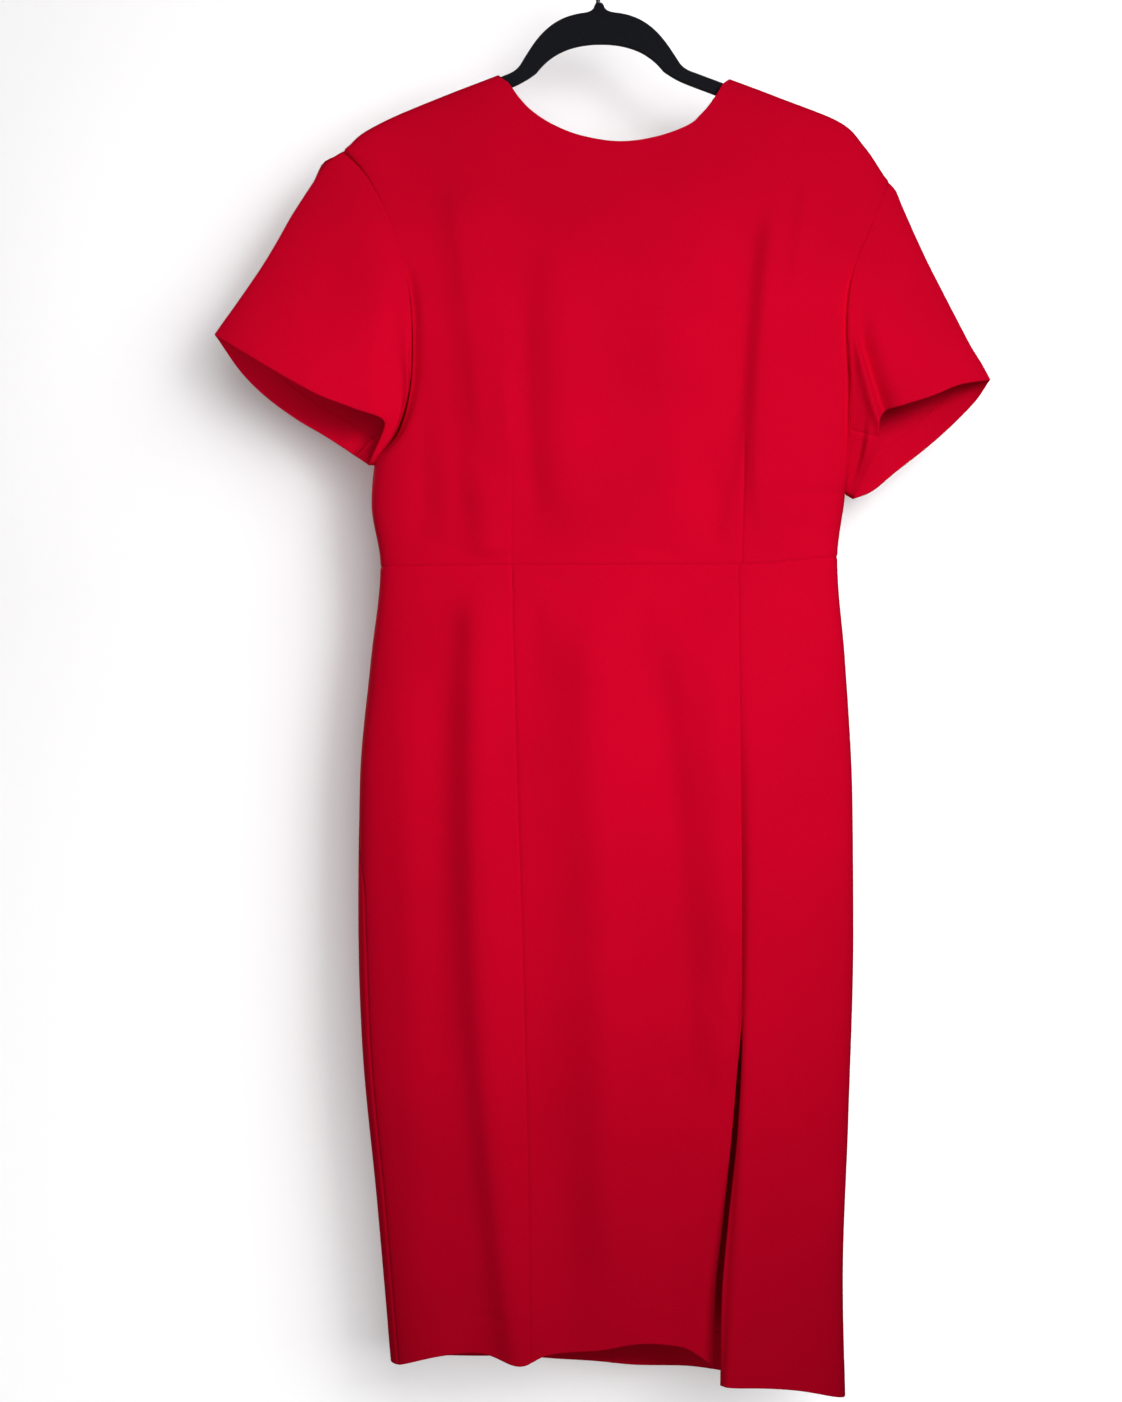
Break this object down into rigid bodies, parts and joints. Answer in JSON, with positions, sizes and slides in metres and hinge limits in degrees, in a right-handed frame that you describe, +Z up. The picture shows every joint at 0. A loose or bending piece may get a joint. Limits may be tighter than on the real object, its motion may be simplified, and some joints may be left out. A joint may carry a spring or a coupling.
{
  "type": "sheath dress on clothes hanger",
  "caption": "Short-sleeved knee-length sheath dress with round neck, waist seam and front slit, hanging flat on a plain clothes hanger.",
  "frame": {"origin": "the point inside the top of the hanger's hook that bears on the rail", "axes": "+Z up, +X to the wearer's left, the front of the dress faces -Y"},
  "size_m": [0.6872, 0.0934, 1.3133],
  "materials": {
    "crepe": "smooth matt woven crepe, dyed red",
    "zip_paint": "satin lacquer dyed to match the cloth",
    "hanger_flock": "charcoal plastic with a fine flocked nap",
    "hook_wire": "dark lacquered steel wire"
  },
  "bodies": {
    "dress_and_hanger": {"bodice_front": "crepe", "bodice_back_left": "crepe", "bodice_back_right": "crepe", "sleeve_left": "crepe", "sleeve_right": "crepe", "skirt_front_right": "crepe", "skirt_front_centre": "crepe", "skirt_front_left": "crepe", "skirt_back_left": "crepe", "skirt_back_right": "crepe", "zip_slider": "zip_paint", "hanger_body": "hanger_flock", "hanger_hook": "hook_wire"},
    "pull_tab": {"zip_pull_tab": "zip_paint"}
  },
  "joints": [
    {"name": "pull_tab_hinge", "type": "hinge", "parent": "dress_and_hanger", "child": "pull_tab", "pos_m": [0.01289, 0.02158, -0.21451], "axis": [1, 0, 0], "range_deg": [0, 150]}
  ]
}
